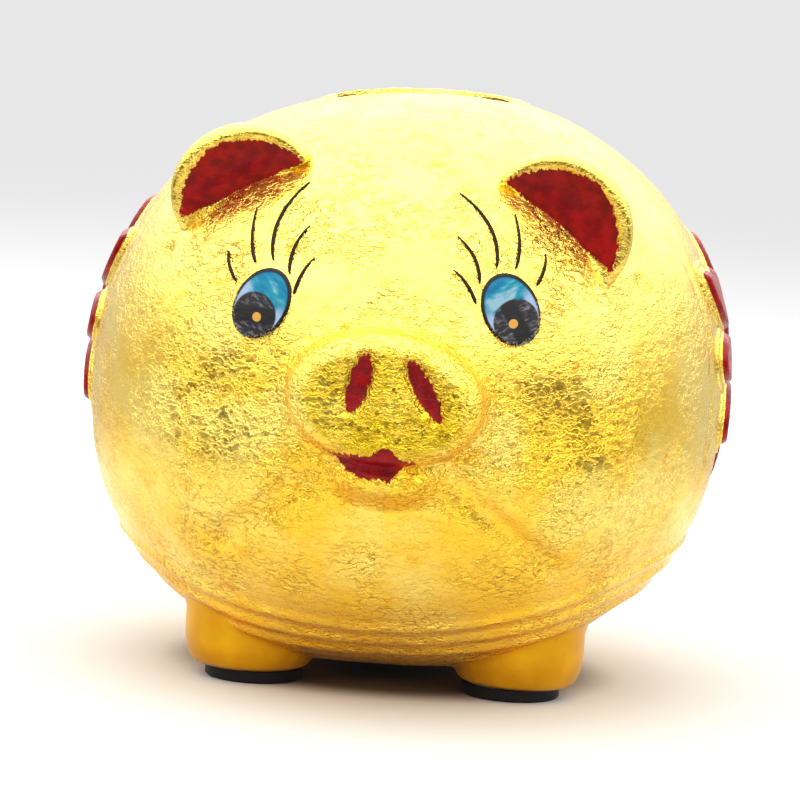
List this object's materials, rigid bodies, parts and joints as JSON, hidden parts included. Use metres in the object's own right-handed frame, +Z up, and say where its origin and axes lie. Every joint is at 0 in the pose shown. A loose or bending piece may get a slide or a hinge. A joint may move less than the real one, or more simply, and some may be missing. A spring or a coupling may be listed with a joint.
{
  "type": "pig money box",
  "caption": "Plump gold-leafed ceramic pig money box with a coin slot on top, rubber feet and a pull-out rubber stopper under the belly.",
  "frame": {"origin": "on the floor, under the middle of the object's bounding box", "axes": "+Z up; -Y is the way the pig looks; +X is on the right of someone facing it"},
  "size_m": [0.1504, 0.172, 0.1345],
  "materials": {
    "gold_leaf": "crinkled gold leaf over slip-cast ceramic",
    "amber_lustre": "smooth amber-gold lustre",
    "red_enamel": "glossy red enamel over raised relief, gold in the grooves",
    "eye_film": "printed and varnished decal film",
    "foot_rubber": "matt black",
    "stopper_rubber": "matt black",
    "adhesive_film": "double-sided adhesive film"
  },
  "bodies": {
    "bank": {"body_shell": "gold_leaf", "left_ear": "gold_leaf", "right_ear": "gold_leaf", "snout": "gold_leaf", "tail": "gold_leaf", "left_eye_decal": "eye_film", "right_eye_decal": "eye_film", "left_flank_flower": "red_enamel", "right_flank_flower": "red_enamel", "front_left_leg": "amber_lustre", "front_right_leg": "amber_lustre", "rear_left_leg": "amber_lustre", "rear_right_leg": "amber_lustre", "front_left_foot_pad": "foot_rubber", "front_right_foot_pad": "foot_rubber", "rear_left_foot_pad": "foot_rubber", "rear_right_foot_pad": "foot_rubber", "front_left_pad_adhesive": "adhesive_film", "front_right_pad_adhesive": "adhesive_film", "rear_left_pad_adhesive": "adhesive_film", "rear_right_pad_adhesive": "adhesive_film"},
    "stopper": {"rubber_stopper": "stopper_rubber"}
  },
  "joints": [
    {"name": "stopper_pull", "type": "slide", "parent": "bank", "child": "stopper", "axis": [0, 0, -1], "range_m": [0, 0.03]}
  ]
}
